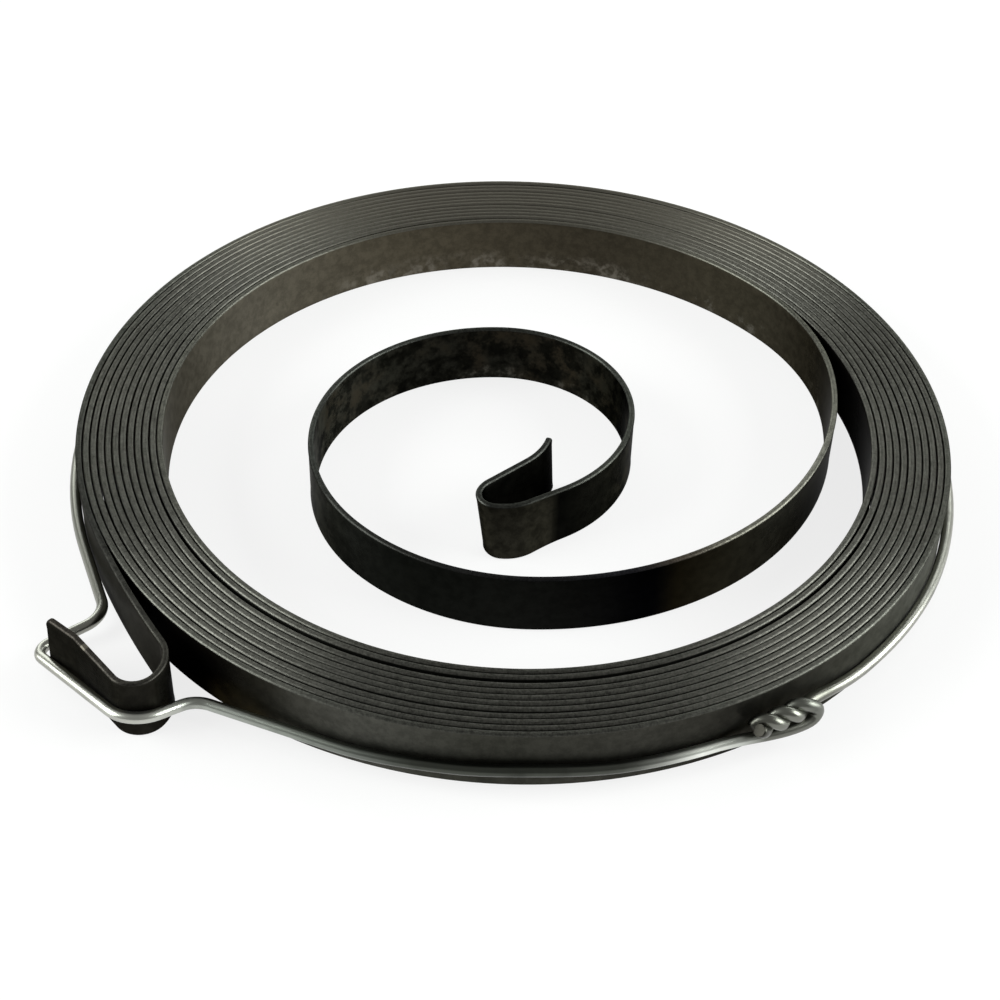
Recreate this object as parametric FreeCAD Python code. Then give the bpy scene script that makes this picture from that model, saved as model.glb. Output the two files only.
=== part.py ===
import FreeCAD, Part
import math
import os

os.makedirs("parts", exist_ok=True)

# Recoil starter spring as it is sold: a flat steel strip wound on edge, its
# inner end loose in the middle, its outer end bent to a hook, and a soft wire
# tied round it to keep it wound. Millimetres and degrees, +Z up, lying on
# z = 0 with the middle of the coil at the origin. Seen from above the strip
# winds inward clockwise, starting on the left.

# Strip
strip_width = 6.0
strip_thickness = 0.5
cut_corner_radius = 0.5

# Coil
coil_outer_radius = 40.3
turn_gap = 0.14
whole_turns = 11
half_turn_angle = 180.0
tail_leaves_angle = 39.0

# The innermost turns stand off a little from the rest
loose_gap = 0.25
loose_after_turns = 9
loose_start_angle = 5.0
loose_sweep_angle = 20.0

# Tail, bend by bend: degrees of turn, and radius as a share of the bore's
tail_bend_angle = 45.0
tail_bends = (
    (tail_leaves_angle, 0.681),
    (tail_bend_angle, 0.863),
    (tail_bend_angle, 0.882),
    (tail_bend_angle, 0.637),
    (tail_bend_angle, 0.536),
    (tail_bend_angle, 0.500),
    (tail_bend_angle, 0.527),
    (tail_bend_angle, 0.380),
    (tail_bend_angle, 0.366),
)

# Inner hook, from the tail to its flared lip
inner_lead_radius = 13.4
inner_lead_angle = 58.7
inner_shank = 3.6
inner_ease_radius = 5.1
inner_ease_angle = 38.9
inner_hook_radius = 1.56
inner_hook_angle = 100.3
inner_open_radius = 2.74
inner_open_angle = 31.0
inner_leg = 4.6
inner_lip_radius = 6.6
inner_lip_angle = 34.0

# Outer hook, from the coil to its tip, which is kinked outward
outer_lead_angle = 25.5
outer_shank_radius = 96.0
outer_shank_angle = 9.2
outer_ease_radius = 3.6
outer_ease_angle = 67.5
outer_hook_radius = 2.05
outer_hook_angle = 106.0
outer_leg = 5.5
outer_kink_radius = 2.0
outer_kink_angle = 10.3
outer_tip = 3.1

# Retaining wire
wire_diameter = 1.0
wire_sides = 6
wire_clearance = 0.06
wire_front_height = 2.1
wire_back_height = 1.4
wire_tip_height = 0.9
wire_hook_height = 3.0
wire_leaves_coil_angle = -158.0
wire_corner_reach = 8.9
wire_corner_radius = 2.4
wire_past_tip = 2.3
wire_tip_radius = 1.2
wire_off_hook_angle = 40.0
wire_return_radius = 2.2
wire_meets_coil_angle = -111.0

# Twisted ends of the wire, folded flat along the coil
twist_angle = -54.7
twist_length = 5.1
twist_pitch = 3.4
twist_phase_angle = 30.0
twist_gap = 0.13
twist_stand_off = 0.47
twist_steps = 12
lead_sweep_angle = 11.0
lead_steps = 4
loop_top_angle = 45.0
loop_stand_off = 0.5

turn_pitch = strip_thickness + turn_gap
centre_radius = coil_outer_radius - strip_thickness / 2
half_turn_radius = centre_radius - turn_pitch / 4
front_turn_radius = half_turn_radius - turn_pitch / 2
bore_radius = half_turn_radius + turn_pitch / 2 - whole_turns * turn_pitch - loose_gap
wire_radius = wire_diameter / 2
beside_strip = strip_thickness / 2 + wire_clearance + wire_radius
strand_reach = wire_radius + twist_gap / 2
twist_radius = front_turn_radius + beside_strip + wire_radius + twist_stand_off
twist_height = wire_front_height + 1.5 * wire_diameter + twist_gap
loop_radius = twist_radius + loop_stand_off
loop_bend = (twist_height - wire_front_height) / (1 + math.sin(math.radians(loop_top_angle)))
UP = FreeCAD.Vector(0, 0, 1)


def unit(degrees):
    """Level direction at an angle from +X."""
    angle = math.radians(degrees)
    return FreeCAD.Vector(math.cos(angle), math.sin(angle), 0)


def around(angle, radius, height):
    """Place given by its angle and distance from the coil's axis and its height."""
    return unit(angle) * radius + UP * height


def arc_edge(centre, radius, start, end):
    """Level arc between two angles about a centre."""
    angles = (start, (start + end) / 2, end)
    points = [centre + unit(angle) * radius for angle in angles]
    return Part.Arc(*points).toShape()


class StripPath:
    """Walks along the middle of the strip and keeps the straights and bends it is made of."""

    def __init__(self, heading):
        self.place = FreeCAD.Vector(-centre_radius, 0, 0)
        self.heading = heading
        self.pieces = []

    def straight(self, length):
        end = self.place + unit(self.heading) * length
        self.pieces.append(("line", self.place, end, self.heading))
        self.place = end

    def bend(self, radius, degrees, side=-1):
        """Turns clockwise with side -1 and the other way with side 1."""
        centre = self.place + unit(self.heading + 90 * side) * radius
        start = self.heading - 90 * side
        end = start + side * degrees
        self.pieces.append(("arc", centre, radius, start, end, side))
        self.heading += side * degrees
        self.place = centre + unit(end) * radius

    def wall(self, offset):
        """Edges of the line that runs beside the path, offset to its left."""
        edges = []
        for kind, *shape in self.pieces:
            if kind == "line":
                start, end, heading = shape
                aside = unit(heading + 90) * offset
                edges.append(Part.LineSegment(start + aside, end + aside).toShape())
            else:
                centre, radius, start, end, side = shape
                edges.append(arc_edge(centre, radius - side * offset, start, end))
        return edges


def wind_coil(path):
    """Half turns about two centres, half a pitch apart, make an even spiral."""
    radius = half_turn_radius
    for half_turn in range(2 * whole_turns):
        if half_turn == 2 * loose_after_turns + 1:
            path.bend(radius, loose_start_angle)
            step_inward(path, radius)
            radius -= loose_gap
            path.bend(radius, half_turn_angle - loose_start_angle - 2 * loose_sweep_angle)
        else:
            path.bend(radius, half_turn_angle)
        radius -= turn_pitch / 2
    path.bend(radius, half_turn_angle - tail_leaves_angle)


def step_inward(path, radius):
    """A tighter bend and then a wider one bring the strip in by the loose gap."""
    swing = loose_gap / (2 * (1 - math.cos(math.radians(loose_sweep_angle))))
    path.bend(radius - swing, loose_sweep_angle)
    path.bend(radius - loose_gap + swing, loose_sweep_angle)


def bend_inner_end(path):
    """Loose tail that closes in, then a hook bent back on itself with a flared lip."""
    for degrees, share in tail_bends:
        path.bend(share * bore_radius, degrees)
    path.bend(inner_lead_radius, inner_lead_angle)
    path.straight(inner_shank)
    path.bend(inner_ease_radius, inner_ease_angle)
    path.bend(inner_hook_radius, inner_hook_angle)
    path.bend(inner_open_radius, inner_open_angle)
    path.straight(inner_leg)
    path.bend(inner_lip_radius, inner_lip_angle, side=1)


def bend_outer_hook(path):
    """Off the coil and straight on, then bent back on itself round the hook."""
    path.bend(centre_radius, outer_lead_angle, side=1)
    path.bend(outer_shank_radius, outer_shank_angle, side=1)
    path.bend(outer_ease_radius, outer_ease_angle)
    path.bend(outer_hook_radius, outer_hook_angle)


def outer_end():
    """The strip walked the other way, from the left of the coil to the outer hook's tip."""
    path = StripPath(-90)
    bend_outer_hook(path)
    path.straight(outer_leg)
    path.bend(outer_kink_radius, outer_kink_angle, side=1)
    path.straight(outer_tip)
    return path


def make_strip():
    """Both walls of the strip and its two cut ends, drawn flat and raised by its width."""
    inner = StripPath(90)
    wind_coil(inner)
    bend_inner_end(inner)
    edges = []
    ends = []
    for path in (inner, outer_end()):
        aside = unit(path.heading + 90) * (strip_thickness / 2)
        edges += path.wall(strip_thickness / 2) + path.wall(-strip_thickness / 2)
        edges.append(Part.LineSegment(path.place + aside, path.place - aside).toShape())
        ends.append(path.place)
    outline = Part.Wire(Part.__sortEdges__(edges))
    blank = Part.Face(outline).extrude(UP * strip_width)
    corners = [edge for edge in blank.Edges if at_cut_corner(edge, ends)]
    return blank.makeFillet(cut_corner_radius, corners)


def at_cut_corner(edge, ends):
    """Whether an edge crosses the strip's thickness at the top or bottom of a cut end."""
    middle = edge.CenterOfMass
    heights = (0, strip_width)
    return any(middle.isEqual(end + UP * height, 1e-6) for end in ends for height in heights)


def back_ring():
    """The wire's middle line along the back half of the coil, left to right."""
    centre = unit(180) * (turn_pitch / 4) + UP * wire_back_height
    return arc_edge(centre, half_turn_radius + beside_strip, 180, 0)


def front_ring(start, end, height):
    """The wire's middle line along the front half, where the next half turn is outermost."""
    centre = unit(0) * (turn_pitch / 4) + UP * height
    return arc_edge(centre, front_turn_radius + beside_strip, start, end)


def crossing(first, first_heading, second, second_heading):
    """Where two level lines meet, each given by a place and a heading."""
    along = unit(first_heading)
    other = unit(second_heading)
    gap = second - first
    spread = along.x * other.y - along.y * other.x
    return first + along * ((gap.x * other.y - gap.y * other.x) / spread)


def heading_past(start, centre, radius):
    """Heading of the level line from start that passes a circle at its radius, on the right."""
    away = centre - start
    towards = math.degrees(math.atan2(away.y, away.x))
    return towards - math.degrees(math.asin(radius / math.hypot(away.x, away.y)))


def bent_route(corners, radii):
    """Straights through the corners, with a bend of the given radius at each inner one."""
    edges = []
    start = corners[0]
    for before, corner, after, radius in zip(corners, corners[1:], corners[2:], radii):
        into = (corner - before).normalize()
        out = (after - corner).normalize()
        half_angle = into.getAngle(out) / 2
        reach = radius * math.tan(half_angle)
        cut_off = radius / math.cos(half_angle) - radius
        first = corner - into * reach
        middle = corner + (out - into).normalize() * cut_off
        last = corner + out * reach
        edges.append(Part.LineSegment(start, first).toShape())
        edges.append(Part.Arc(first, middle, last).toShape())
        start = last
    edges.append(Part.LineSegment(start, corners[-1]).toShape())
    return edges


def hook_route(start, finish):
    """From the coil past the outer hook's tip, along its back, round it and in again."""
    bend = StripPath(-90)
    bend_outer_hook(bend)
    bend_middle = bend.place + unit(bend.heading - 90) * outer_hook_radius
    bend_centre = bend_middle + UP * wire_hook_height
    tip = outer_end()
    beside_tip = tip.place + unit(tip.heading + 90) * beside_strip + UP * wire_tip_height
    wrap = outer_hook_radius + beside_strip
    along_leg = heading_past(beside_tip, bend_centre, wrap)
    corner = start + unit(wire_leaves_coil_angle + 90) * wire_corner_reach
    past_tip = beside_tip - unit(along_leg) * wire_past_tip
    off_hook = bend_centre + unit(wire_off_hook_angle - 90) * wrap
    round_hook = crossing(off_hook, wire_off_hook_angle, beside_tip, along_leg)
    back_in = crossing(finish, wire_meets_coil_angle + 90, off_hook, wire_off_hook_angle)
    corners = (start, corner, past_tip, round_hook, back_in, finish)
    return bent_route(corners, (wire_corner_radius, wire_tip_radius, wrap, wire_return_radius))


def rim(place, heading, across):
    """Outline of the wire's section, square to its heading, with a corner straight out."""
    corners = []
    for corner in range(wire_sides + 1):
        spin = FreeCAD.Rotation(heading, 360 * corner / wire_sides)
        corners.append(place + spin.multVec(across) * wire_radius)
    return Part.makePolygon(corners)


def lead(start, finish):
    """Off the ring at start, drifting evenly out and up towards finish."""
    angles = [math.degrees(math.atan2(place.y, place.x)) for place in (start, finish)]
    radii = [math.hypot(place.x, place.y) for place in (start, finish)]
    places = []
    for step in range(lead_steps):
        part = step / lead_steps
        ease = part * part * (3 - 2 * part)
        angle = angles[0] + (angles[1] - angles[0]) * part
        radius = radii[0] + (radii[1] - radii[0]) * ease
        places.append(around(angle, radius, start.z + (finish.z - start.z) * ease))
    return places


def loop_over():
    """Half turn in which the wire doubles back over itself into the twist."""
    places = []
    for turn in (-90, -45, 0, loop_top_angle):
        along = loop_bend * math.cos(math.radians(turn))
        climb = loop_bend * (1 + math.sin(math.radians(turn)))
        angle = twist_angle + math.degrees(along / loop_radius)
        places.append(around(angle, loop_radius, wire_front_height + climb))
    return places


def strand(phase):
    """One strand of the twist, from its root to its cut end."""
    places = []
    for step in range(twist_steps + 1):
        along = twist_length * step / twist_steps
        turn = math.radians(phase + 360 * along / twist_pitch)
        angle = twist_angle - math.degrees(along / twist_radius)
        radius = twist_radius + strand_reach * math.cos(turn)
        places.append(around(angle, radius, twist_height + strand_reach * math.sin(turn)))
    return places


def free_end(heading, places):
    """The wire lofted through places that start at the ring with a given heading."""
    headings = [heading]
    for before, after in zip(places, places[2:]):
        headings.append((after - before).normalize())
    headings.append((places[-1] - places[-2]).normalize())
    across = UP.cross(heading)
    rims = []
    for place, heading in zip(places, headings):
        across = (across - heading * across.dot(heading)).normalize()
        rims.append(rim(place, heading, across))
    return Part.makeLoft(rims, True, True)


def make_wire():
    """The run round coil and hook, and the two ends that are twisted together."""
    front = front_ring(twist_angle - lead_sweep_angle, wire_meets_coil_angle, wire_front_height)
    right = front_ring(0, twist_angle + lead_sweep_angle, wire_back_height)
    reach = centre_radius + beside_strip
    left = arc_edge(UP * wire_back_height, reach, -180, wire_leaves_coil_angle)
    leaves = around(wire_leaves_coil_angle, reach, wire_back_height)
    hook = hook_route(leaves, front.Vertexes[1].Point)
    path = Part.Wire(Part.__sortEdges__([front, left, back_ring(), right] + hook))
    front_end = front.Vertexes[0].Point
    right_end = right.Vertexes[1].Point
    front_way = front.tangentAt(front.FirstParameter) * -1
    right_way = right.tangentAt(right.LastParameter)
    section = rim(right_end, right_way, UP.cross(right_way))
    run = path.makePipeShell([section], True, False)
    over = loop_over() + strand(twist_phase_angle)
    behind = strand(twist_phase_angle + 180)
    ends = [
        free_end(front_way, lead(front_end, over[0]) + over),
        free_end(right_way, lead(right_end, behind[0]) + behind),
    ]
    return run.multiFuse(ends).Solids[0]


strip = make_strip()
strip.exportStep("parts/spring_strip.step")
wire = make_wire()
wire.exportStep("parts/retaining_wire.step")
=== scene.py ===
# %% [markdown]
# # A recoil starter spring, tied up for sale
#
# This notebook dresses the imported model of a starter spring: a steel strip
# wound on edge, with a soft wire tied round it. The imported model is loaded
# first, because every piece made here has to lie where that model says.
# Lengths are written in millimetres and turned to metres as a mesh is made.

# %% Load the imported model
import math

import bpy
from mathutils import Matrix, Quaternion, Vector, noise


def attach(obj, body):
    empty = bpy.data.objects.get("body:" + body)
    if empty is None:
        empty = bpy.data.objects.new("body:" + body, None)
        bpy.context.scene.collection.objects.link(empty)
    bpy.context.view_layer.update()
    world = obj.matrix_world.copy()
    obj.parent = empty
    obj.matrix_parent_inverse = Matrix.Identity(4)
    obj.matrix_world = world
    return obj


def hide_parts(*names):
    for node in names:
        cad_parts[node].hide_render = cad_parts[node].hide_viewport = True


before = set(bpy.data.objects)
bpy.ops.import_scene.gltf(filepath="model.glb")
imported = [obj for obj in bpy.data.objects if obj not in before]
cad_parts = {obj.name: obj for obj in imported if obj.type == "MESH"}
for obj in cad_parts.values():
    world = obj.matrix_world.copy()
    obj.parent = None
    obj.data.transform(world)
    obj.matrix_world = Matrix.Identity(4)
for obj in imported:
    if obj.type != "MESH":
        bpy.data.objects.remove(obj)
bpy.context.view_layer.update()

# %% [markdown]
# ## The camera
#
# The photograph looks down on the coil at about 41 degrees, from so near that
# the front of the coil is much larger than the back. A long lens further off
# would flatten it, so the camera stands 179 mm from where it looks, with a
# 69 mm lens on Blender's 36 mm film. A camera looks along its own -Z, so its
# three axes are worked out from the rise and the small roll of the picture.

# %% Camera
MM = 0.001
CAMERA_LENS = 69.34
CAMERA_DISTANCE = 178.74
CAMERA_RISE = math.radians(41.33)
CAMERA_ROLL = math.radians(1.65)
CAMERA_TARGET = Vector((-1.265, -5.551, 0))

camera = bpy.data.objects.new("camera", bpy.data.cameras.new("camera"))
bpy.context.collection.objects.link(camera)
camera.data.lens = CAMERA_LENS
camera.data.sensor_width = 36
camera.data.clip_start = 0.005
camera.data.clip_end = 20
turned = Matrix.Rotation(math.pi / 2 - CAMERA_RISE, 3, "X") @ Matrix.Rotation(CAMERA_ROLL, 3, "Z")
stand = CAMERA_TARGET + turned.col[2] * CAMERA_DISTANCE
camera.matrix_world = Matrix.Translation(stand * MM) @ turned.to_4x4()
bpy.context.scene.camera = camera
print("camera stands at, mm:", [round(c, 1) for c in stand])

# %% [markdown]
# ## The line of the strip
#
# The strip is one long ribbon, so all of it follows from the line that its
# middle draws on the table. That line is a chain of bends and straights, as a
# maker would set them on a bending machine. Each is given as a radius and the
# degrees it turns, or as a length. Half turns about two centres, half a
# pitch apart, give a spiral with even gaps and no kinks.

# %% Bends of the strip
STRIP_WIDTH = 6.0
STRIP_THICKNESS = 0.5
PITCH = 0.64
COIL_RADIUS = 40.05
WHOLE_TURNS = 11
LOOSE_GAP = 0.25
LOOSE_START = 5.0
LOOSE_SWEEP = 20.0
LOOSE_HALF_TURN = 19
TAIL_LEAVES_AT = 39.0
HALF_TURN_RADIUS = COIL_RADIUS - PITCH / 4
BORE_RADIUS = COIL_RADIUS + PITCH / 4 - WHOLE_TURNS * PITCH - LOOSE_GAP


def coil_bends():
    """(radius, degrees) of each clockwise bend, from the left of the coil inward."""
    bends = []
    radius = HALF_TURN_RADIUS
    for half_turn in range(2 * WHOLE_TURNS):
        if half_turn == LOOSE_HALF_TURN:
            swing = LOOSE_GAP / (2 * (1 - math.cos(math.radians(LOOSE_SWEEP))))
            bends += [(radius, LOOSE_START), (radius - swing, LOOSE_SWEEP)]
            bends += [(radius - LOOSE_GAP + swing, LOOSE_SWEEP)]
            radius -= LOOSE_GAP
            bends += [(radius, 180 - LOOSE_START - 2 * LOOSE_SWEEP)]
        else:
            bends.append((radius, 180))
        radius -= PITCH / 2
    return bends + [(radius, 180 - TAIL_LEAVES_AT)]


TAIL_SHARES = (0.863, 0.882, 0.637, 0.536, 0.500, 0.527, 0.380, 0.366)
TAIL = [(0.681 * BORE_RADIUS, TAIL_LEAVES_AT)]
TAIL += [(share * BORE_RADIUS, 45.0) for share in TAIL_SHARES]
INNER_HOOK = [(13.4, 58.7), 3.6, (5.1, 38.9), (1.56, 100.3), (2.74, 31.0), 4.6, (6.6, -34.0)]
OUTER_LEAD = [(COIL_RADIUS, -25.5), (96.0, -9.2), (3.6, 67.5), (2.05, 106.0)]
OUTER_TIP = [5.5, (2.0, -10.3), 3.1]
print("bends in the coil:", len(coil_bends()), "radius of the bore, mm:", round(BORE_RADIUS, 2))

# %% [markdown]
# A bend is drawn by short steps, a fortieth of its radius long, so that a coil
# of 40 mm gets steps of a millimetre and a hook of 2 mm gets much finer ones.
# Each step keeps its place and its heading. Both ends of the strip are sheared
# off with round corners, and a few more places just inside them draw those.

# %% Walk the line
LONGEST_STEP = 1.2
SHORTEST_STEP = 0.12
STEPS_PER_RADIUS = 40
CUT_CORNER = 0.5
LIP_CORNER = 0.12


def walk(place, heading, pieces):
    """Points (x, y, heading in degrees) along bends (radius, clockwise degrees) and lengths."""
    points = [(place[0], place[1], heading)]
    for piece in pieces:
        x, y, heading = points[-1]
        if isinstance(piece, float):
            steps = round(piece / SHORTEST_STEP)
            ahead = math.radians(heading)
            for step in range(1, steps + 1):
                gone = piece * step / steps
                points.append((x + gone * math.cos(ahead), y + gone * math.sin(ahead), heading))
            continue
        radius, degrees = piece
        side = -1 if degrees > 0 else 1
        length = radius * math.radians(abs(degrees))
        wanted = max(SHORTEST_STEP, radius / STEPS_PER_RADIUS)
        steps = math.ceil(length / min(LONGEST_STEP, wanted))
        to_centre = math.radians(heading + 90 * side)
        centre_x = x + radius * math.cos(to_centre)
        centre_y = y + radius * math.sin(to_centre)
        for step in range(1, steps + 1):
            now = heading - degrees * step / steps
            back = math.radians(now + 90 * side)
            spot = (centre_x - radius * math.cos(back), centre_y - radius * math.sin(back))
            points.append((*spot, now))
    return points


def denser_start(line, corner):
    """The same line with more places in its start, where a round corner is drawn."""
    wanted = [corner * (1 - math.cos(math.radians(turn))) for turn in range(15, 105, 15)]
    places, gone = [line[0]], 0.0
    for before, after in zip(line, line[1:]):
        step = math.dist(before[:2], after[:2])
        for length in wanted:
            if gone < length < gone + step:
                share = (length - gone) / step
                places.append(tuple(a + (b - a) * share for a, b in zip(before, after)))
        places.append(after)
        gone += step
    return places


inward = walk((-COIL_RADIUS, 0), 90, coil_bends() + TAIL + INNER_HOOK)
outward = walk((-COIL_RADIUS, 0), -90, OUTER_LEAD + OUTER_TIP)
strip_line = [(x, y, heading + 180) for x, y, heading in reversed(outward[1:])] + inward
strip_line = denser_start(denser_start(strip_line, CUT_CORNER)[::-1], LIP_CORNER)[::-1]
print("places on the strip's line:", len(strip_line))

# %% [markdown]
# ## The strip itself
#
# Spring strip is rolled, so its edges are not sharp but a little rounded and
# swollen, and these small rounds are what catches the light as thin bright
# lines on the turns. The section is drawn once, as a thin upright bar with round
# corners, and carried along the line. A curve with a bevel would do the same,
# but plain mesh code lets the turns lie unevenly, as wound turns do, so that
# the gaps between them are not all alike. The mesh also gets a map: along the
# strip in one direction, round its section in the other.

# %% Section of the strip
EDGE_ROUND = 0.21
EDGE_STEPS = 5
EDGE_SWELL = 0.035
SWELL_DEPTH = 0.7


def strip_section():
    """(across, up) of each corner point, starting on the outer face and going over the top."""
    face = STRIP_THICKNESS / 2
    middle = face + EDGE_SWELL - EDGE_ROUND
    corner = [(face, STRIP_WIDTH - SWELL_DEPTH)]
    for step in range(EDGE_STEPS + 1):
        angle = math.radians(90 * step / EDGE_STEPS)
        up = STRIP_WIDTH - EDGE_ROUND + EDGE_ROUND * math.sin(angle)
        corner.append((middle + EDGE_ROUND * math.cos(angle), up))
    top = corner + [(-across, up) for across, up in reversed(corner)]
    return top + [(across, STRIP_WIDTH - up) for across, up in reversed(top)]


section = strip_section()
print("corner points in the section:", len(section))

# %% [markdown]
# A skin over a row of rings serves for the strip and for the wire. Every
# face but the two cut ends is smooth-shaded. The map is filled in at the same
# time, since each face knows between which lengths it lies.

# %% A skin over rings
def new_piece(name, corners, faces, unwrapped):
    """A smooth mesh in metres, with a map that gives each face corner its two lengths."""
    mesh = bpy.data.meshes.new(name)
    mesh.from_pydata([tuple(c * MM for c in corner) for corner in corners], [], faces)
    layer = mesh.uv_layers.new(name="lengths")
    for face, spots in zip(mesh.polygons, unwrapped):
        for loop, spot in zip(face.loop_indices, spots):
            layer.data[loop].uv = spot
        face.use_smooth = len(spots) == 4
    mesh.validate()
    piece = bpy.data.objects.new(name, mesh)
    bpy.context.collection.objects.link(piece)
    print(name, "faces:", len(mesh.polygons))
    return piece


def ribbon(name, rings, lengths, girths):
    """Rings of corner points, one after another, joined to a closed skin with flat ends."""
    around = len(rings[0])
    corners = [corner for ring in rings for corner in ring]
    faces, unwrapped = [], []
    for row in range(len(rings) - 1):
        for side in range(around):
            after = (side + 1) % around
            low, high = row * around, (row + 1) * around
            faces.append((low + side, high + side, high + after, low + after))
            near, far = lengths[row], lengths[row + 1]
            start, end = girths[side], girths[side + 1]
            unwrapped.append(((near, start), (far, start), (far, end), (near, end)))
    last = (len(rings) - 1) * around
    faces.append(tuple(range(around)))
    faces.append(tuple(last + side for side in reversed(range(around))))
    unwrapped.append([(lengths[0], girths[side]) for side in range(around)])
    unwrapped.append([(lengths[-1], girths[side]) for side in reversed(range(around))])
    return new_piece(name, corners, faces, unwrapped)


def girths_of(section):
    """Length walked round the section up to each corner point, back to the first."""
    walked = [0.0]
    for before, after in zip(section, section[1:] + section[:1]):
        walked.append(walked[-1] + math.dist(before, after))
    return walked


def lengths_of(line):
    """Length walked along a line up to each of its places."""
    walked = [0.0]
    for before, after in zip(line, line[1:]):
        walked.append(walked[-1] + math.dist(before[:2], after[:2]))
    return walked


girths = girths_of(section)
TOP_MIDDLE = sum(girths[len(section) // 4 - 1:len(section) // 4 + 1]) / 2
BOTTOM_MIDDLE = girths[-2] - TOP_MIDDLE
lengths = lengths_of(strip_line)
STRIP_LENGTH = lengths[-1]
HOOK_LENGTH = lengths_of(outward)[-1]
COIL_LENGTH = STRIP_LENGTH - lengths_of(walk((0, 0), 0, TAIL + INNER_HOOK))[-1]
print("round the section, mm:", [round(g, 2) for g in (TOP_MIDDLE, BOTTOM_MIDDLE, girths[-1])])
print("strip length, mm:", round(STRIP_LENGTH))
print("outer hook, mm:", round(HOOK_LENGTH), "coil up to, mm:", round(COIL_LENGTH))

# %% [markdown]
# The turns don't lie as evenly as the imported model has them. Some stand a
# tenth of a millimetre lower than others, and the one wide gap is shared out
# over the turns at the left and back. At the back the photograph's gaps nearly
# close, so there the strip is drawn up to 8.5 percent thicker than it is. The
# inner hook stands askew: its foot lies up to a millimetre further right than
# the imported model's, and a third of one further forward.

# %% How the turns lie
TURN_RISE = 0.12
TURN_SWAY = 0.035
RISE_WAVE = 70
SWAY_WAVE = 50
RUN_IN = 40
BACK_THICKER = 0.085
BACK_RISES = (14, 34)
LOOSE_SHARED = 0.22
EVEN_TURNS = 9.6
FRONT_STARTS = (0.50, 0.59)
FRONT_ENDS = (0.86, 0.96)
TIP_SLANT = 0.5
SLANTED = 3
HOOK_STARTS = (2803.0, 2812.0)
HOOK_EASES_AT = 2814.0
HOOK_TIP_EASE = 0.6
HOOK_ASIDE = 0.22
HOOK_LEAN = 0.80
HOOK_FORWARD = 0.42
HOOK_STAYS = 0.2


def cut_back(to_end, corner):
    """How much a round corner takes off the width, this near to the strip's end."""
    inside = max(0.0, corner - to_end)
    return corner - math.sqrt(corner**2 - inside**2)


def eased(value, low, high):
    """0 below low and 1 above high, smooth between them."""
    part = min(1.0, max(0.0, (value - low) / (high - low)))
    return part * part * (3 - 2 * part)


def drawn_in(turns):
    """How far inward a turn lies at the left and back, where the loose gap is shared out."""
    if turns > EVEN_TURNS:
        return 0.0
    round_coil = turns % 1
    away_from_front = 1 - eased(round_coil, *FRONT_STARTS) + eased(round_coil, *FRONT_ENDS)
    return LOOSE_SHARED * turns / EVEN_TURNS * away_from_front


print("drawn in at the left, mm:", [round(drawn_in(turns), 2) for turns in (1, 5, 9)])

# %% Mesh the strip
rings = []
for (x, y, heading), gone in zip(strip_line, lengths):
    after_hook, before_tail = (gone - HOOK_LENGTH) / RUN_IN, (COIL_LENGTH - gone) / RUN_IN
    wound = min(1.0, max(0.0, after_hook), max(0.0, before_tail))
    turns = max(0.0, (90 - heading) / 360) if gone > HOOK_LENGTH else 0.0
    low_by = TURN_RISE * wound * (0.5 + noise.noise(Vector((gone / RISE_WAVE, 3.7, 0))))
    sway = TURN_SWAY * wound * noise.noise(Vector((gone / SWAY_WAVE, 9.1, 0)))
    sway -= drawn_in(turns)
    cut = cut_back(gone, CUT_CORNER) + cut_back(STRIP_LENGTH - gone, LIP_CORNER)
    aside = math.radians(heading + 90)
    thicker = 1 + BACK_THICKER * wound * eased(y, *BACK_RISES)
    on_hook = eased(gone, *HOOK_STARTS)
    on_hook *= 1 - HOOK_TIP_EASE * eased(gone, HOOK_EASES_AT, STRIP_LENGTH)
    ring = []
    for across, up in section:
        reach = across * thicker + sway
        height = STRIP_WIDTH - max(cut, low_by, 0.0) - (STRIP_WIDTH - up)
        height = height if up > STRIP_WIDTH / 2 else up + cut
        down = 1 - height / STRIP_WIDTH
        ahead = -TIP_SLANT * (1 - eased(gone, 0, SLANTED)) * down
        lean = on_hook * (HOOK_ASIDE + HOOK_LEAN * down)
        forward = on_hook * HOOK_FORWARD * (down - HOOK_STAYS)
        ring.append((
            x + reach * math.cos(aside) + ahead * math.sin(aside) + lean,
            y + reach * math.sin(aside) - ahead * math.cos(aside) - forward,
            height,
        ))
    rings.append(ring)
strip = ribbon("spring_strip_steel", rings, lengths, girths)
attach(strip, "root")
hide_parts("spring_strip")

# %% [markdown]
# ## The line of the tie wire
#
# The tie wire is one length of soft wire. It lies against the outermost turn,
# goes out to the hook and round it, and comes back to the coil. At the front
# right its two ends meet: one doubles back over itself, and both are twisted
# together by one and a half turns beside the coil. Round the coil the wire
# follows true bends. The twist is worked out as two strands half a turn apart,
# each set a little over a wire's radius from the line between them.

# %% Lay the wire round coil and hook
WIRE_RADIUS = 0.5
WIRE_CLEARANCE = 0.06
FRONT_HEIGHT = 2.1
BACK_HEIGHT = 1.4
TIP_HEIGHT = 0.9
HOOK_HEIGHT = 3.0
RING_HEIGHTS = (
    (-180, BACK_HEIGHT),
    (-158, BACK_HEIGHT),
    (-111, 1.85),
    (-97, 2.2),
    (-88, 2.4),
    (-76, FRONT_HEIGHT),
    (-44, 2.0),
    (-18, 1.15),
    (0, 1.1),
    (90, 1.3),
    (180, BACK_HEIGHT),
)
SNUG = 0.015
BESIDE = STRIP_THICKNESS / 2 + WIRE_CLEARANCE + WIRE_RADIUS - SNUG
LEAVES_COIL_AT = -158.0
MEETS_COIL_AT = -111.0
OFF_HOOK_AT = 40.0
HOOK_BEND = OUTER_LEAD[-1][0]
OUT_REACH = 8.9
PAST_TIP = 2.3
OUT_RADIUS = 2.4
TIP_RADIUS = 1.2
RETURN_RADIUS = 2.2
TWIST_AT = -54.7
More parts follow.
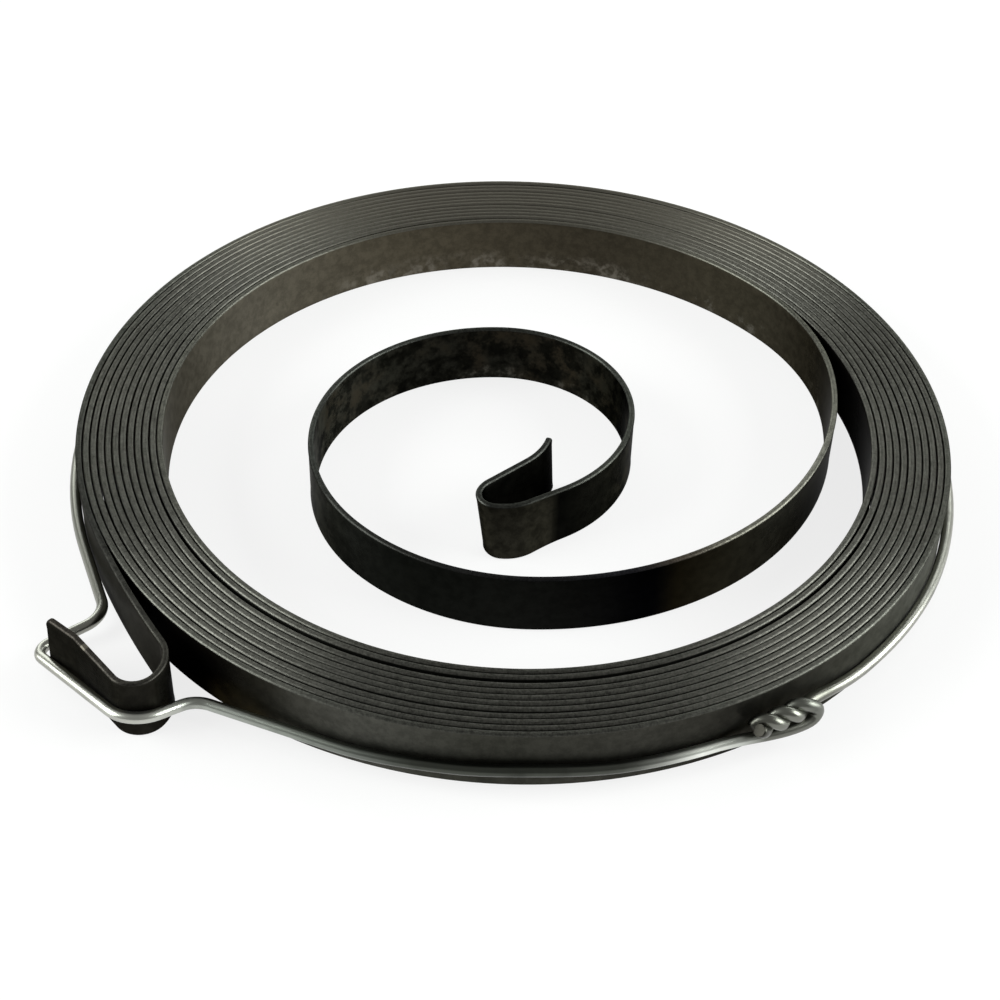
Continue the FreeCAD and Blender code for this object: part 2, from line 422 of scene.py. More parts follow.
LEAD_SWEEP = 11.0


def polar(angle, radius, height=0.0, shift=0.0):
    """Place at an angle and distance from the coil's axis, or from a centre shifted in X."""
    turn = math.radians(angle)
    return Vector((shift + radius * math.cos(turn), radius * math.sin(turn), height))


def ring_height(angle):
    """The wire's height on the coil: it sags and rises a little between its bends."""
    for (start, low), (end, high) in zip(RING_HEIGHTS, RING_HEIGHTS[1:]):
        if start <= angle <= end:
            part = (angle - start) / (end - start)
            return low + (high - low) * part * part * (3 - 2 * part)


def ring_run(start, end, radius, shift):
    """The wire against the coil, from one angle to another."""
    steps = max(2, round(abs(end - start) / 2))
    angles = [start + (end - start) * step / steps for step in range(steps + 1)]
    return [polar(angle, radius, ring_height(angle), shift) for angle in angles]


def rounded(corners, radii):
    """The straights between corners, with an arc of the given radius at each inner one."""
    places = [corners[0]]
    for before, corner, after, radius in zip(corners, corners[1:], corners[2:], radii):
        into = (corner - before).normalized()
        out = (after - corner).normalized()
        half_angle = into.angle(out) / 2
        centre = corner + (out - into).normalized() * (radius / math.cos(half_angle))
        first = corner - into * (radius * math.tan(half_angle)) - centre
        axis = into.cross(out).normalized()
        steps = max(4, round(math.degrees(half_angle) / 4))
        for step in range(steps + 1):
            turn = Quaternion(axis, 2 * half_angle * step / steps)
            places.append(centre + turn @ first)
    return places + [corners[-1]]


def crossing(first, first_heading, second, second_heading):
    """Where two level lines meet, each given by a place and a heading."""
    along = polar(first_heading, 1)
    other = polar(second_heading, 1)
    gap = second - first
    spread = along.x * other.y - along.y * other.x
    return first + along * ((gap.x * other.y - gap.y * other.x) / spread)


back_radius = HALF_TURN_RADIUS + BESIDE
front_radius = back_radius - PITCH / 2
left_radius = COIL_RADIUS + BESIDE
bend_x, bend_y, bend_heading = walk((-COIL_RADIUS, 0), -90, OUTER_LEAD)[-1]
bend_centre = Vector((bend_x, bend_y, HOOK_HEIGHT)) + polar(bend_heading - 90, HOOK_BEND)
tip_x, tip_y, tip_heading = outward[-1]
beside_tip = Vector((tip_x, tip_y, TIP_HEIGHT)) + polar(tip_heading + 90, BESIDE)
wrap_radius = HOOK_BEND + BESIDE
away = (bend_centre - beside_tip).to_2d()
along_leg = math.degrees(math.atan2(away.y, away.x) - math.asin(wrap_radius / away.length))
off_hook = bend_centre + polar(OFF_HOOK_AT - 90, wrap_radius)
leaves = polar(LEAVES_COIL_AT, left_radius, BACK_HEIGHT)
meets = polar(MEETS_COIL_AT, front_radius, ring_height(MEETS_COIL_AT), PITCH / 4)
hook_corners = [
    leaves,
    leaves + polar(LEAVES_COIL_AT + 90, OUT_REACH),
    beside_tip - polar(along_leg, PAST_TIP),
    crossing(off_hook, OFF_HOOK_AT, beside_tip, along_leg),
    crossing(meets, MEETS_COIL_AT + 90, off_hook, OFF_HOOK_AT),
    meets,
]
hook_run = rounded(hook_corners, (OUT_RADIUS, TIP_RADIUS, wrap_radius, RETURN_RADIUS))
print("wire round the hook, corners:", [[round(c, 1) for c in p] for p in hook_corners])

# %% [markdown]
# The free ends are softer curves than the rest. Each leaves the ring by a lead
# that drifts evenly out and up, and goes on as a strand of the twist, one of
# them by way of the loop. Then every place but the two outermost is moved
# towards the middle of its neighbours, six times over. That also draws the
# strands closer than they were set, so they cut into each other a little.

# %% Twist the ends
TWIST_LENGTH = 5.1
TWIST_PITCH = 3.4
TWIST_GAP = 0.13
TWIST_STAND_OFF = 0.47
LOOP_STAND_OFF = 0.5
STRAND_STEPS = 24
LEAD_STEPS = 12
TWIST_RADIUS = HALF_TURN_RADIUS - PITCH / 2 + BESIDE + WIRE_RADIUS + TWIST_STAND_OFF
TWIST_HEIGHT = FRONT_HEIGHT + 3 * WIRE_RADIUS + TWIST_GAP
LOOP_TOP = 45.0
LOOP_BEND = (TWIST_HEIGHT - FRONT_HEIGHT) / (1 + math.sin(math.radians(LOOP_TOP)))
LOOP_RADIUS = TWIST_RADIUS + LOOP_STAND_OFF
STRAND_PHASES = (30.0, 210.0)


def strand(phase):
    """One strand of the twist, from its root to its cut end."""
    places = []
    for step in range(STRAND_STEPS + 1):
        along = TWIST_LENGTH * step / STRAND_STEPS
        turn = math.radians(phase + 360 * along / TWIST_PITCH)
        reach = WIRE_RADIUS + TWIST_GAP / 2
        angle = TWIST_AT - math.degrees(along / TWIST_RADIUS)
        radius = TWIST_RADIUS + reach * math.cos(turn)
        places.append(polar(angle, radius, TWIST_HEIGHT + reach * math.sin(turn)))
    return places


def loop_over():
    """Half turn in which the wire doubles back over itself into the twist."""
    places = []
    for turn in range(-90, round(LOOP_TOP) + 1, 15):
        along = LOOP_BEND * math.cos(math.radians(turn))
        climb = LOOP_BEND * (1 + math.sin(math.radians(turn)))
        angle = TWIST_AT + math.degrees(along / LOOP_RADIUS)
        places.append(polar(angle, LOOP_RADIUS, FRONT_HEIGHT + climb))
    return places


def lead(start, finish):
    """Off the ring at start, drifting evenly out and up towards finish."""
    angles = [math.degrees(math.atan2(place.y, place.x)) for place in (start, finish)]
    radii = [math.hypot(place.x, place.y) for place in (start, finish)]
    places = []
    for step in range(1, LEAD_STEPS):
        part = step / LEAD_STEPS
        ease = part * part * (3 - 2 * part)
        angle = angles[0] + (angles[1] - angles[0]) * part
        radius = radii[0] + (radii[1] - radii[0]) * ease
        places.append(polar(angle, radius, start.z + (finish.z - start.z) * ease))
    return places


def relaxed(places, passes=6):
    """Soft wire has no kinks: each inner place drifts towards its neighbours' middle."""
    for _ in range(passes):
        inner = [(a + 2 * b + c) / 4 for a, b, c in zip(places, places[1:], places[2:])]
        places = places[:1] + inner + places[-1:]
    return places


front_start = ring_run(TWIST_AT - LEAD_SWEEP, MEETS_COIL_AT, front_radius, PITCH / 4)[0]
right_end = ring_run(TWIST_AT + LEAD_SWEEP, 0, front_radius, PITCH / 4)[0]
over = loop_over() + strand(STRAND_PHASES[0])
behind = strand(STRAND_PHASES[1])
over = relaxed([front_start] + lead(front_start, over[0]) + over)
behind = relaxed([right_end] + lead(right_end, behind[0]) + behind)
wire_line = over[::-1]
wire_line += ring_run(TWIST_AT - LEAD_SWEEP, MEETS_COIL_AT, front_radius, PITCH / 4)[1:]
wire_line += hook_run[::-1][1:]
wire_line += ring_run(LEAVES_COIL_AT, -180, left_radius, 0)[1:]
wire_line += ring_run(180, 0, back_radius, -PITCH / 4)[1:]
wire_line += ring_run(0, TWIST_AT + LEAD_SWEEP, front_radius, PITCH / 4)[1:]
wire_line += behind[1:]
print("places on the wire's line:", len(wire_line))
front_place = polar(-90, 40.4, 2)
off_front = [(place - front_place).length for place in wire_line]
front_middle = off_front.index(min(off_front))
FRONT_MIDDLE = sum((a - b).length for a, b in zip(wire_line, wire_line[1:front_middle + 1]))
WIRE_LENGTH = sum((a - b).length for a, b in zip(wire_line, wire_line[1:]))
print("front middle, mm along the wire:", round(FRONT_MIDDLE, 1))

# %% [markdown]
# A drawn wire is round, so a ring of corner points is carried along the line
# as for the strip, each ring square to the line and turned as little as it can
# be from the one before. Blender's own curve bevel makes the same tube, but
# a plain mesh shares the strip's map of lengths, which its finish needs. The
# cutters squeeze the two ends a little.

# %% Mesh the wire
WIRE_SIDES = 24
PINCH = (0.93, 1.0)
TWISTED = 7.5
TWIST_SWELL = 0.11
SWELL_FADE = 3


def tube(name, line):
    """A round tube along the line, its two cut ends pinched a little as cutters leave them."""
    across = Vector((0, 0, 1))
    rings, lengths, gone = [], [], 0.0
    whole = sum((b - a).length for a, b in zip(line, line[1:]))
    for index, place in enumerate(line):
        before = line[max(0, index - 1)]
        after = line[min(len(line) - 1, index + 1)]
        heading = (after - before).normalized()
        across = (across - heading * across.dot(heading)).normalized()
        other = heading.cross(across)
        gone += (place - before).length
        near_end = min(index, len(line) - 1 - index)
        reach = WIRE_RADIUS * (PINCH[near_end] if near_end < len(PINCH) else 1.0)
        to_end = min(gone, whole - gone)
        reach *= 1 + TWIST_SWELL * (1 - eased(to_end, TWISTED, TWISTED + SWELL_FADE))
        ring = []
        for side in range(WIRE_SIDES):
            turn = 2 * math.pi * side / WIRE_SIDES
            ring.append(place + (across * math.cos(turn) + other * math.sin(turn)) * reach)
        rings.append(ring)
        lengths.append(gone)
    girths = [2 * math.pi * WIRE_RADIUS * side / WIRE_SIDES for side in range(WIRE_SIDES + 1)]
    print("wire length, mm:", round(gone))
    return ribbon(name, rings, lengths, girths)


wire = tube("tie_wire_steel", wire_line)
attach(wire, "root")
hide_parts("retaining_wire")

# %% [markdown]
# ## Writing materials as sums
#
# A material is a graph of nodes. Long graphs are hard to read when every node
# takes three lines, so a small class wraps one socket and lets Python's own
# signs make the Math nodes: `1 - mask` is a real node afterwards. Every other
# node comes from one method, `node`, which sets its settings and then its
# sockets.

# %% Sockets that can be added and multiplied
class Value:
    """One output socket of a material, with the signs used on it below."""

    def __init__(self, finish, socket):
        self.finish = finish
        self.socket = socket

    def maths(self, operation, first, second):
        settings = {"operation": operation}
        return self.finish.node("ShaderNodeMath", settings, {0: first, 1: second})

    def __add__(self, other):
        return self.maths("ADD", self, other)

    def __radd__(self, other):
        return self.maths("ADD", other, self)

    def __sub__(self, other):
        return self.maths("SUBTRACT", self, other)

    def __rsub__(self, other):
        return self.maths("SUBTRACT", other, self)

    def __mul__(self, other):
        return self.maths("MULTIPLY", self, other)

    def __rmul__(self, other):
        return self.maths("MULTIPLY", other, self)

    def rise(self, low, high):
        """0 below low and 1 above high, smooth between them."""
        settings = {"interpolation_type": "SMOOTHSTEP"}
        return self.finish.node("ShaderNodeMapRange", settings, {0: self, 1: low, 2: high})


class Finish:
    """A material, and the one method that all its nodes come from."""

    def __init__(self, name):
        self.material = bpy.data.materials.new(name)
        self.material.use_nodes = True
        self.tree = self.material.node_tree
        self.tree.nodes.clear()

    def node(self, kind, settings=None, sockets=None, output=0):
        made = self.tree.nodes.new(kind)
        settings = dict(settings or {})
        for stop, colour in settings.pop("stops", ()):
            elements = made.color_ramp.elements
            element = elements.new(stop) if 0 < stop < 1 else elements[-1 if stop else 0]
            element.color = (*colour, 1)
        for name, setting in settings.items():
            setattr(made, name, setting)
        for name, value in (sockets or {}).items():
            if isinstance(value, Value):
                self.tree.links.new(value.socket, made.inputs[name])
            else:
                made.inputs[name].default_value = value
        return Value(self, made.outputs[output])

    def mix(self, share, first, second):
        """Colour that goes from first to second as share goes from 0 to 1."""
        settings = {"data_type": "RGBA"}
        return self.node("ShaderNodeMix", settings, {0: share, 6: first, 7: second}, output=2)

    def tones(self, length, stops):
        """Colour that changes along a length: stops are (length in mm, colour), in order."""
        first, last = stops[0][0], stops[-1][0]
        shares = [((place - first) / (last - first), colour) for place, colour in stops]
        share = (length - first) * (1 / (last - first))
        return self.node("ShaderNodeValToRGB", {"stops": shares}, {0: share})

    def scaled(self, colour, factor):
        """A colour made darker or lighter by a factor."""
        sockets = {0: colour, "Scale": factor}
        return self.node("ShaderNodeVectorMath", {"operation": "SCALE"}, sockets)

    def cloud(self, where, scale, detail=2.0, roughness=0.5):
        """Soft random patches from 0 to 1."""
        sockets = {"Vector": where, "Scale": scale, "Detail": detail, "Roughness": roughness}
        return self.node("ShaderNodeTexNoise", None, sockets)

    def metal(self, colour, roughness, bump_height, bump_distance, constants=None):
        """The last nodes: a metal surface with a fine bump, and any sockets that stay constant."""
        sockets = {"Strength": 1.0, "Distance": bump_distance, "Height": bump_height}
        normal = self.node("ShaderNodeBump", None, sockets)
        sockets = {"Base Color": colour, "Roughness": roughness, "Metallic": 1.0, "Normal": normal}
        sockets.update(constants or {})
        surface = self.node("ShaderNodeBsdfPrincipled", None, sockets)
        self.node_output(surface)

    def node_output(self, surface):
        made = self.tree.nodes.new("ShaderNodeOutputMaterial")
        self.tree.links.new(surface.socket, made.inputs["Surface"])


# %% [markdown]
# ## Oil-tempered spring steel
#
# The strip is hardened and drawn through oil, which leaves its faces nearly
# black, while the rolled edges are rubbed to a dull grey. Rolling also leaves
# fine lines along the strip. The mesh's map knows both directions, so noise
# stretched along the length gives the lines. The height round the section
# tells the outer face from the inner one, and the way a point faces tells an
# edge from a face, so one material can dress the whole ribbon.
#
# A real edge is scratched along its length. Such metal spreads a lamp's light
# across the scratches, and the shader's anisotropy does this without a single
# scratch being drawn: Blender measures it round the object's upright axis, and
# a quarter turn sets it across the strip.
#
# The edges' tone also follows where in the coil they lie, as painted light and
# shade: paler and warmer at the back as painted light, duller at both sides and
# at the front centre as painted shade, and a little lighter at the front left
# and right as painted light.

# %% Spring steel: where on the strip
spring_steel = Finish("spring_steel")
mapped = spring_steel.node("ShaderNodeUVMap", {"uv_map": "lengths"})
along = spring_steel.node("ShaderNodeSeparateXYZ", None, {"Vector": mapped}, output="X")
girth = spring_steel.node("ShaderNodeSeparateXYZ", None, {"Vector": mapped}, output="Y")
solid = spring_steel.node("ShaderNodeTexCoord", None, None, output="Object")
sideways = spring_steel.node("ShaderNodeSeparateXYZ", None, {"Vector": solid}, output="X")
depth = spring_steel.node("ShaderNodeSeparateXYZ", None, {"Vector": solid}, output="Y")
height = spring_steel.node("ShaderNodeSeparateXYZ", None, {"Vector": solid}, output="Z")
facing = spring_steel.node("ShaderNodeNewGeometry", None, None, output="Normal")
upward = spring_steel.node("ShaderNodeSeparateXYZ", None, {"Vector": facing}, output="Z")

at_back = depth.rise(0.018, 0.040)
at_sides = (sideways * sideways).rise(0.0006, 0.0013)
at_front = 1 - depth.rise(-0.032, -0.016)
at_centre = at_front * (1 - (sideways * sideways).rise(0.00003, 0.0004))
# At the back the paler edge colour also reaches down the rounded shoulders, which paints light
# over the dark lines between the turns.
on_edge = (upward + at_back * 0.10).rise(0.10, 0.50)
past_top = girth.rise(TOP_MIDDLE - 0.05, TOP_MIDDLE + 0.05)
past_bottom = girth.rise(BOTTOM_MIDDLE - 0.05, BOTTOM_MIDDLE + 0.05)
on_inner_face = past_top - past_bottom
late = along.rise(1400, 1500)

# %% [markdown]
# The tone is not the same all along the strip: there is a paler stretch at the
# back of the bore, a black band across the loose tail, and an end that was
# softened by heat so that the inner hook could be bent. Some tones are painted
# shade: the black hollow behind the outer hook, the darker outer face under the
# twist, and the dark inner wall at the right of the bore, behind the loose tail.
# One is a painted highlight, on the edge of the loose tail at the right. These
# tones are given by the length in millimetres at which they lie, for each face
# and the edges.

# %% Spring steel: tones along the strip
# Painted shade: the outer face is darkened where it passes under the twist, from 204 to 227 mm,
# and painted near black from 258 to 340 mm, in the hollow behind the outer hook's lead.
OUTER_FACE_FIRST_WITH_SHADE = (
    (0, (0.048, 0.044, 0.036)),
    (7, (0.050, 0.047, 0.039)),
    (12, (0.034, 0.031, 0.026)),
    (20, (0.032, 0.030, 0.025)),
    (28, (0.028, 0.027, 0.023)),
    (60, (0.042, 0.042, 0.037)),
    (150, (0.080, 0.080, 0.070)),
    (196, (0.098, 0.099, 0.086)),
    (204, (0.064, 0.064, 0.055)),
    (214, (0.034, 0.033, 0.028)),
    (220, (0.034, 0.033, 0.028)),
    (227, (0.054, 0.053, 0.045)),
    (240, (0.046, 0.046, 0.038)),
    (250, (0.082, 0.082, 0.071)),
    (254, (0.064, 0.063, 0.054)),
    (258, (0.022, 0.021, 0.017)),
    (264, (0.006, 0.005, 0.004)),
    (280, (0.002, 0.002, 0.002)),
    (340, (0.030, 0.030, 0.026)),
)
OUTER_FACE_LAST = (
    (2640, (0.030, 0.030, 0.026)),
    (2676, (0.022, 0.021, 0.018)),
    (2690, (0.027, 0.026, 0.021)),
    (2696, (0.022, 0.020, 0.014)),
    (2700, (0.012, 0.010, 0.006)),
    (2702, (0.0020, 0.0020, 0.0024)),
    (2704, (0.0020, 0.0020, 0.0024)),
    (2707, (0.0052, 0.0052, 0.0050)),
    (2714, (0.0092, 0.0096, 0.0084)),
    (2724, (0.0092, 0.0098, 0.0084)),
    (2731, (0.0160, 0.0165, 0.0145)),
    (2740, (0.046, 0.046, 0.038)),
    (2782, (0.030, 0.030, 0.024)),
    (2793, (0.022, 0.022, 0.017)),
    (2799, (0.010, 0.010, 0.008)),
    (2804.3, (0.0036, 0.0036, 0.0032)),
    (2804.5, (0.0180, 0.0170, 0.0128)),
    (2823, (0.0180, 0.0170, 0.0128)),
)
# Painted shade: the inner face is darkened from 2440 to 2552 mm, on the wall at the right of the
# bore behind the loose tail.
INNER_FACE_LAST_WITH_SHADE = (
    (2440, (0.030, 0.028, 0.022)),
    (2456, (0.010, 0.009, 0.008)),
    (2500, (0.010, 0.009, 0.008)),
    (2552, (0.078, 0.074, 0.062)),
    (2592, (0.080, 0.073, 0.058)),
    (2610, (0.078, 0.068, 0.048)),
    (2620, (0.064, 0.055, 0.038)),
    (2632, (0.042, 0.036, 0.025)),
    (2648, (0.034, 0.030, 0.021)),
    (2670, (0.026, 0.024, 0.019)),
    (2690, (0.030, 0.029, 0.024)),
    (2742, (0.046, 0.046, 0.039)),
    (2752, (0.030, 0.030, 0.025)),
    (2758, (0.014, 0.014, 0.011)),
    (2768, (0.0110, 0.0108, 0.0085)),
    (2784, (0.0115, 0.0113, 0.0086)),
    (2800, (0.005, 0.005, 0.004)),
    (2823, (0.0034, 0.0034, 0.0028)),
)
EDGES_FIRST = (
    (0, (0.036, 0.032, 0.028)),
    (18, (0.036, 0.035, 0.031)),
    (34, (0.050, 0.050, 0.046)),
    (70, (0.086, 0.088, 0.077)),
    (400, (0.092, 0.091, 0.081)),
)
# Painted highlight: the edge is made much paler from 2660 to 2700 mm, on the loose tail's stretch
# at the right.
EDGES_LAST_WITH_HIGHLIGHT = (
    (2500, (0.092, 0.091, 0.081)),
    (2660, (0.094, 0.094, 0.080)),
    (2680, (0.150, 0.148, 0.128)),
    (2694, (0.130, 0.126, 0.106)),
    (2700, (0.060, 0.050, 0.040)),
    (2704, (0.022, 0.022, 0.026)),
    (2724, (0.026, 0.026, 0.024)),
    (2742, (0.044, 0.046, 0.042)),
    (2796, (0.050, 0.052, 0.046)),
    (2823, (0.040, 0.041, 0.038)),
)
outer_face = spring_steel.mix(
    late, spring_steel.tones(along, OUTER_FACE_FIRST_WITH_SHADE), spring_steel.tones(along, OUTER_FACE_LAST)
)
inner_face = spring_steel.mix(
    late, (0.018, 0.017, 0.014, 1), spring_steel.tones(along, INNER_FACE_LAST_WITH_SHADE)
)
edges = spring_steel.mix(
    late, spring_steel.tones(along, EDGES_FIRST), spring_steel.tones(along, EDGES_LAST_WITH_HIGHLIGHT)
)
faces = spring_steel.mix(on_inner_face, outer_face, inner_face)

# %% [markdown]
# Layers of noise break these tones up: fine lines along the strip, soft
# blotches, the hard-edged patches of scale that the loose tail shows, speckles,
# and two grains that are only just seen. Pale smudges, where something wiped
# the foot of the bore, are patches and thin curls kept to a low band. A curl is
# where one more noise crosses its middle value.

# %% Spring steel: colours and gloss
lines_at = spring_steel.node(
    "ShaderNodeVectorMath", {"operation": "MULTIPLY"}, {0: mapped, 1: (0.35, 14.0, 1.0)}
)
rolled_lines = spring_steel.cloud(lines_at, 1.0, 3.0, 0.6)
blotches = spring_steel.cloud(solid, 110.0, 4.0, 0.6)
scale_patches = spring_steel.cloud(solid, 480.0, 6.0, 0.70)
grain = spring_steel.cloud(solid, 2600.0, 2.0, 0.7)
fine_grain = spring_steel.cloud(solid, 5600.0, 1.0, 0.5)
mottles = spring_steel.cloud(solid, 1100.0, 4.0, 0.7)
off_level = spring_steel.cloud(solid, 330.0, 2.0, 0.6) - 0.5
curls = 1 - (off_level * off_level).rise(0.0, 0.0050)
speckled = mottles.rise(0.34, 0.66)
annealed = along.rise(2804.3, 2804.5)

on_loop = along.rise(2724, 2748) * (1 - along.rise(2794, 2800) * 0.75)
patchy = scale_patches.rise(0.42, 0.62)
face_factor = 0.46 + blotches * 0.56 + speckled * (0.32 + annealed * 0.62) + fine_grain * 0.16
loop_factor = 0.27 + patchy * 1.02 + (blotches - 0.5) * 0.8 + speckled * 0.24
face_factor = face_factor + (loop_factor - face_factor) * on_loop
low_on_face = 1 - height.rise(0.0006, 0.0026)
smudged = low_on_face * scale_patches.rise(0.56, 0.70) * on_inner_face
smudged = smudged * along.rise(2585, 2600) * (1 - along.rise(2775, 2785))
wiped = low_on_face * on_inner_face * blotches.rise(0.42, 0.56)
wiped = wiped * (curls * (0.10 + speckled * 0.55) + speckled * 0.16)
wiped = wiped * along.rise(2598, 2606) * (1 - along.rise(2632, 2640))
faces = spring_steel.scaled(faces, face_factor)
faces = spring_steel.mix(smudged * 0.6, faces, (0.10, 0.095, 0.080, 1))
faces = spring_steel.mix(wiped, faces, (0.19, 0.175, 0.145, 1))
rusty = blotches.rise(0.50, 0.66) * patchy * along.rise(2735, 2745) * (1 - along.rise(2790, 2800))
faces = spring_steel.mix(rusty * 0.5, faces, (0.030, 0.022, 0.013, 1))
stained = along.rise(257.5, 259.5) * (1 - along.rise(263, 265.5))
stained = stained * (1 - height.rise(0.0022, 0.0042))
faces = spring_steel.mix(stained * (0.35 + patchy * 0.5), faces, (0.026, 0.022, 0.013, 1))
edge_factor = 0.56 + (rolled_lines * 0.5 + grain * 0.5).rise(0.34, 0.66) * 0.52
edge_factor = edge_factor + fine_grain.rise(0.30, 0.70) * 0.38
# Painted light and shade: the edges are darkened at both sides and at the front centre, and
# lightened at the front left and right.
edge_factor = edge_factor - at_sides * 0.20 + at_front * 0.13 - at_centre * 0.25
edges = spring_steel.scaled(edges, edge_factor)
# Painted light: at the back the edges are mixed towards a paler, warmer grey.
edges = spring_steel.mix(at_back * 0.66, edges, (0.190, 0.176, 0.146, 1))
# A small pale spot on the edge, 4.4 to 5.2 mm along the strip.
pale_edge_spot = along.rise(4.4, 4.6) * (1 - along.rise(5.0, 5.2))
edges = spring_steel.mix(pale_edge_spot * 0.8, edges, (0.12, 0.11, 0.09, 1))
steel_colour = spring_steel.mix(on_edge, faces, edges)
steel_rough = 0.37 + blotches * 0.08 + rolled_lines * 0.08
steel_bump = rolled_lines * 0.6 + grain * 0.3
sheen = {"Anisotropic": 0.6, "Anisotropic Rotation": 0.25, "Specular Tint": (0.35, 0.35, 0.35, 1)}
spring_steel.metal(steel_colour, steel_rough, steel_bump, 0.000006, sheen)
strip.data.materials.append(spring_steel.material)
print("nodes in spring_steel:", len(spring_steel.tree.nodes))

# %% [markdown]
# ## Drawn tie wire
#
# Soft binding wire is drawn bright and then handled, so it is a clear grey
# metal with fine lines along it and a few dull spots.

# %% Tie wire
tie_wire = Finish("tie_wire")
mapped = tie_wire.node("ShaderNodeUVMap", {"uv_map": "lengths"})
solid = tie_wire.node("ShaderNodeTexCoord", None, None, output="Object")
lines_at = tie_wire.node(
    "ShaderNodeVectorMath", {"operation": "MULTIPLY"}, {0: mapped, 1: (0.3, 9.0, 1.0)}
)
drawn_lines = tie_wire.cloud(lines_at, 1.0, 3.0, 0.6)
dull = tie_wire.cloud(solid, 260.0, 3.0, 0.6).rise(0.45, 0.75)
# Painted light and shade along the wire: it is painted dark across the front centre, and painted
# highlights brighten it where it leaves the coil for the twist and on its way to the hook at the
# front left.
WIRE_TONES_AND_LIGHT = (
    (0, (0.022, 0.021, 0.018)),
    (0.3, (0.11, 0.11, 0.095)),
    (3, (0.19, 0.195, 0.172)),
    (FRONT_MIDDLE - 27, (0.17, 0.175, 0.155)),
    (FRONT_MIDDLE - 20.5, (0.13, 0.132, 0.115)),
    (FRONT_MIDDLE - 18.5, (0.50, 0.52, 0.48)),
    (FRONT_MIDDLE - 15, (0.82, 0.85, 0.79)),
    (FRONT_MIDDLE - 12, (0.30, 0.31, 0.285)),
    (FRONT_MIDDLE - 9, (0.072, 0.076, 0.066)),
    (FRONT_MIDDLE, (0.056, 0.060, 0.051)),
    (FRONT_MIDDLE + 8, (0.060, 0.064, 0.055)),
    (FRONT_MIDDLE + 12.5, (0.13, 0.14, 0.125)),
    (FRONT_MIDDLE + 19, (0.26, 0.28, 0.25)),
    (FRONT_MIDDLE + 25, (0.34, 0.36, 0.33)),
    (FRONT_MIDDLE + 31, (0.48, 0.49, 0.45)),
    (FRONT_MIDDLE + 38, (0.36, 0.36, 0.325)),
    (FRONT_MIDDLE + 55, (0.22, 0.22, 0.195)),
    (FRONT_MIDDLE + 90, (0.22, 0.22, 0.195)),
    (WIRE_LENGTH - 22, (0.30, 0.30, 0.27)),
    (WIRE_LENGTH - 13, (0.30, 0.30, 0.27)),
    (WIRE_LENGTH - 9, (0.15, 0.15, 0.13)),
    (WIRE_LENGTH - 3, (0.19, 0.195, 0.172)),
    (WIRE_LENGTH - 0.3, (0.12, 0.12, 0.104)),
    (WIRE_LENGTH, (0.022, 0.021, 0.018)),
)
wire_length = tie_wire.node("ShaderNodeSeparateXYZ", None, {"Vector": mapped}, output="X")
wire_tone_and_light = tie_wire.tones(wire_length, WIRE_TONES_AND_LIGHT)
wire_colour = tie_wire.scaled(wire_tone_and_light, 1.12 - dull * 0.45)
wire_rough = 0.26 + dull * 0.14 + drawn_lines * 0.08
tie_wire.metal(wire_colour, wire_rough, drawn_lines, 0.00001)
wire.data.materials.append(tie_wire.material)
print("nodes in tie_wire:", len(tie_wire.tree.nodes))

# %% [markdown]
# ## The table
#
# The spring lies on a plain pale table, and the photograph shows it pure
# white. Part of the table's white is given as light of its own, which only
# the camera and the metal's reflections see, so it lights nothing. The rest
# is ordinary paint, and keeps the soft shadow under the coil.

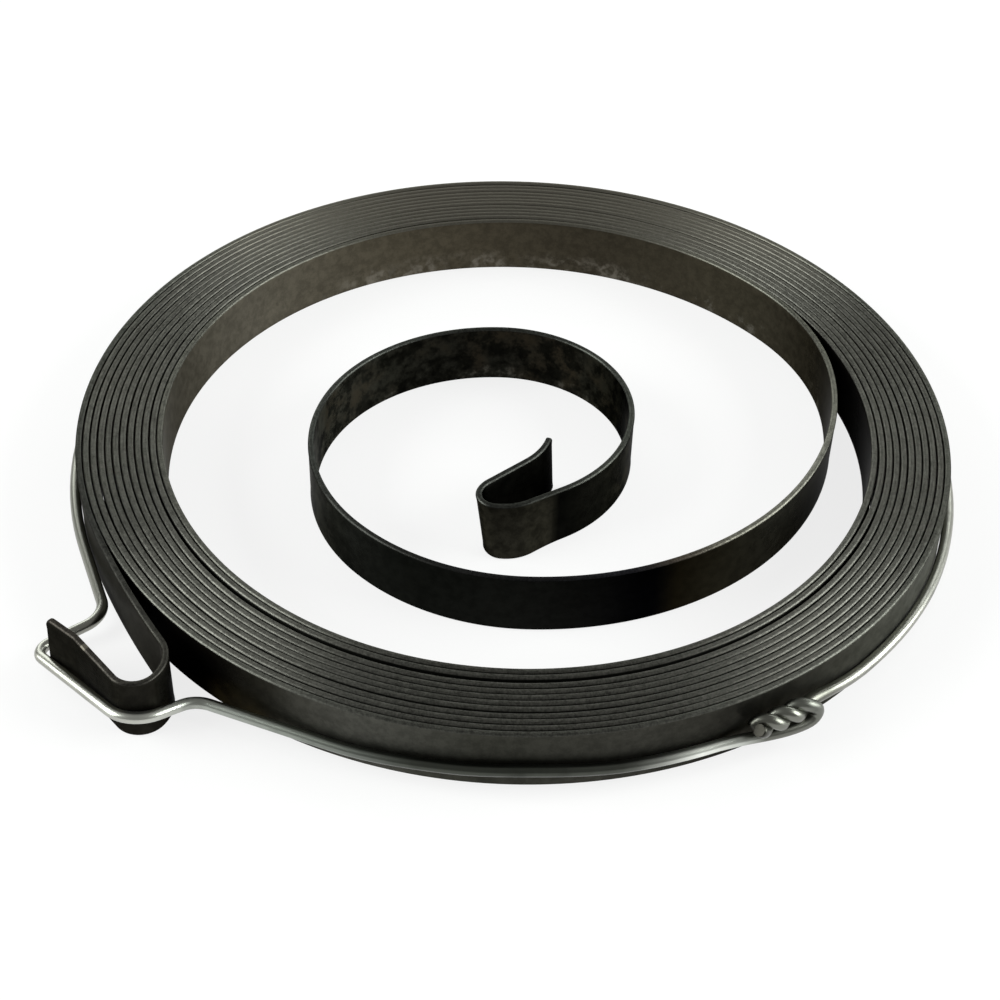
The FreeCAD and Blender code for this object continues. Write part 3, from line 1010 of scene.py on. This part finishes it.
# %% Table
TABLE_SIZE = 6.0
OWN_WHITE = 0.80
table_mesh = bpy.data.meshes.new("table")
half = TABLE_SIZE / 2
table_corners = [(-half, -half, 0), (half, -half, 0), (half, half, 0), (-half, half, 0)]
table_mesh.from_pydata(table_corners, [], [(0, 1, 2, 3)])
table = bpy.data.objects.new("table", table_mesh)
bpy.context.collection.objects.link(table)
table_finish = Finish("table")
to_camera = table_finish.node("ShaderNodeLightPath", None, None, output="Is Camera Ray")
to_metal = table_finish.node("ShaderNodeLightPath", None, None, output="Is Glossy Ray")
to_glass = table_finish.node("ShaderNodeLightPath", None, None, output="Is Transmission Ray")
seen = (to_camera + to_metal + to_glass) * OWN_WHITE
sockets = {"Base Color": (0.90, 0.90, 0.90, 1), "Roughness": 0.9, "Specular IOR Level": 0.0}
paint = table_finish.node("ShaderNodeBsdfPrincipled", None, sockets)
own_white = table_finish.node("ShaderNodeEmission", None, {"Color": (1, 1, 1, 1), "Strength": 1.0})
surface = table_finish.node("ShaderNodeMixShader", None, {0: seen, 1: paint, 2: own_white})
table_finish.node_output(surface)
table_mesh.materials.append(table_finish.material)
print("table's own white:", OWN_WHITE)

# %% [markdown]
# ## Light
#
# Two large soft boxes, one on each side, draw the thin bright lines on the
# turns at the front left and front right. Two fainter ones stand behind, to
# the left and right, and lift the back of the coil, with a fifth and faintest
# between them. The world fills the rest evenly and stays rather dark, so the
# edges at the front centre, which mirror the space between the two large
# boxes, stay as dull as they really are.

# %% Soft boxes
def soft_box(name, place, size, brightness):
    """A square lamp aimed at the coil. brightness is what a mirror would show, 1 being white."""
    lamp = bpy.data.lights.new(name, "AREA")
    lamp.shape = "SQUARE"
    lamp.size = size
    lamp.energy = brightness * math.pi * size * size
    lamp.color = (0.96, 1.0, 0.97)
    holder = bpy.data.objects.new(name, lamp)
    bpy.context.collection.objects.link(holder)
    holder.location = place
    holder.rotation_euler = Vector(place).to_track_quat("Z", "Y").to_euler()
    print(name, "watts:", round(lamp.energy, 2))
    return holder


soft_box("left_box", (-0.75, -0.10, 0.36), 0.55, 9.0)
soft_box("right_box", (0.75, 0.00, 0.34), 0.55, 9.0)
soft_box("back_left_box", (-0.48, 0.92, 0.38), 0.6, 3.4)
soft_box("back_right_box", (0.50, 0.92, 0.38), 0.6, 3.2)
soft_box("low_back_box", (0.0, 1.05, 0.34), 0.4, 1.6)

world = bpy.data.worlds.new("studio")
bpy.context.scene.world = world
world.use_nodes = True
world.node_tree.nodes["Background"].inputs["Color"].default_value = (0.30, 0.30, 0.29, 1)
world.node_tree.nodes["Background"].inputs["Strength"].default_value = 1.0
bpy.context.scene.view_settings.view_transform = "Standard"
